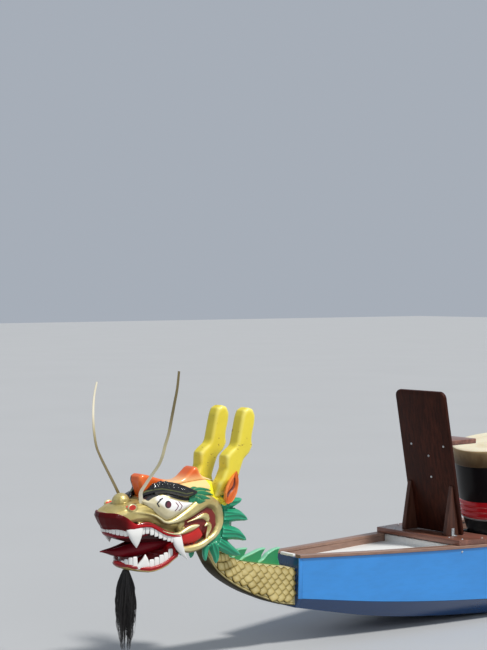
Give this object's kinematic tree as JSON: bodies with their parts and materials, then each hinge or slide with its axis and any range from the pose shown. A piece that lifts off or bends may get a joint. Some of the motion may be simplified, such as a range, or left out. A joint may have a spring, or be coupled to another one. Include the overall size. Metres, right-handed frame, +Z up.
{
  "type": "dragon boat",
  "caption": "Long open timber racing hull with hard chines, a carved dragon head and tail, drummer's seat, drum, paddlers' benches and a pivoting steering oar.",
  "frame": {"origin": "amidships on the centreline, at the surface of the water that the empty hull floats in", "axes": "+X towards the bow, +Y to port, +Z up"},
  "size_m": [14.0851, 1.136, 1.5254],
  "materials": {
    "blue_paint": "gloss marine paint",
    "navy_paint": "gloss marine paint",
    "oiled_teak": "worn oiled teak",
    "white_paint": "satin paint",
    "dark_varnish": "gloss varnish",
    "drum_paint": "gloss paint with red bands",
    "drum_skin": "stretched hide",
    "gold_paint": "metallic gold paint on carving",
    "crimson_paint": "gloss paint",
    "ivory_paint": "gloss paint",
    "orange_paint": "gloss paint",
    "green_paint": "gloss paint",
    "black_paint": "high gloss paint",
    "yellow_paint": "satin paint",
    "gilt_strip": "thin gilt strip",
    "black_hair": "horsehair",
    "galvanised": "galvanised",
    "bare_pine": "pale oiled pine"
  },
  "bodies": {
    "root": {"side_plank_port": "blue_paint", "side_plank_starboard": "blue_paint", "bilge_plank_port": "navy_paint", "bilge_plank_starboard": "navy_paint", "gunwale_cap_port": "oiled_teak", "gunwale_cap_starboard": "oiled_teak", "inwale_port": "oiled_teak", "inwale_starboard": "oiled_teak", "seat_riser_port": "white_paint", "seat_riser_starboard": "white_paint", "bottom_plank": "navy_paint", "keelson_ribs": "white_paint", "bow_transom": "navy_paint", "stern_transom": "navy_paint", "bow_deck": "white_paint", "stern_deck": "white_paint", "bench_1": "dark_varnish", "bench_2": "dark_varnish", "bench_3": "dark_varnish", "bench_4": "dark_varnish", "bench_5": "dark_varnish", "bench_6": "dark_varnish", "bench_7": "dark_varnish", "bench_8": "dark_varnish", "bench_9": "dark_varnish", "seat_base": "dark_varnish", "back_board": "dark_varnish", "gusset_port": "dark_varnish", "gusset_starboard": "dark_varnish", "seat_plank": "dark_varnish", "drum_shell": "drum_paint", "drum_head": "drum_skin", "drum_stand": "drum_paint", "steering_beam": "oiled_teak", "skull": "gold_paint", "jaw_lower": "gold_paint", "lip_upper": "crimson_paint", "teeth_upper": "ivory_paint", "teeth_lower": "ivory_paint", "tongue": "crimson_paint", "crest": "orange_paint", "mane": "green_paint", "beard": "black_hair", "eye_port": "ivory_paint", "eye_starboard": "ivory_paint", "brow_port": "black_paint", "brow_starboard": "black_paint", "horn_port": "yellow_paint", "horn_starboard": "yellow_paint", "ear_port": "orange_paint", "ear_starboard": "orange_paint", "whisker_port": "gilt_strip", "whisker_starboard": "gilt_strip", "neck": "gold_paint", "neck_fins": "green_paint", "tail": "gold_paint", "tail_fins": "green_paint"},
    "rowlock": {"rowlock": "galvanised"},
    "oar_collar": {"oar_collar": "galvanised"},
    "oar": {"steering_oar": "bare_pine"}
  },
  "joints": [
    {"name": "rowlock_swivel", "type": "hinge", "parent": "root", "child": "rowlock", "pos_m": [-5, 0.45, 0.50073], "axis": [0, 0, 1], "range_deg": [-40, 6]},
    {"name": "oar_dip", "type": "hinge", "parent": "rowlock", "child": "oar_collar", "pos_m": [-5, 0.45, 0.61073], "axis": [0, -1, 0], "range_deg": [0, 35]},
    {"name": "oar_feather", "type": "hinge", "parent": "oar_collar", "child": "oar", "pos_m": [-5, 0.45, 0.61073], "axis": [1, 0, 0], "range_deg": [-90, 90]}
  ]
}
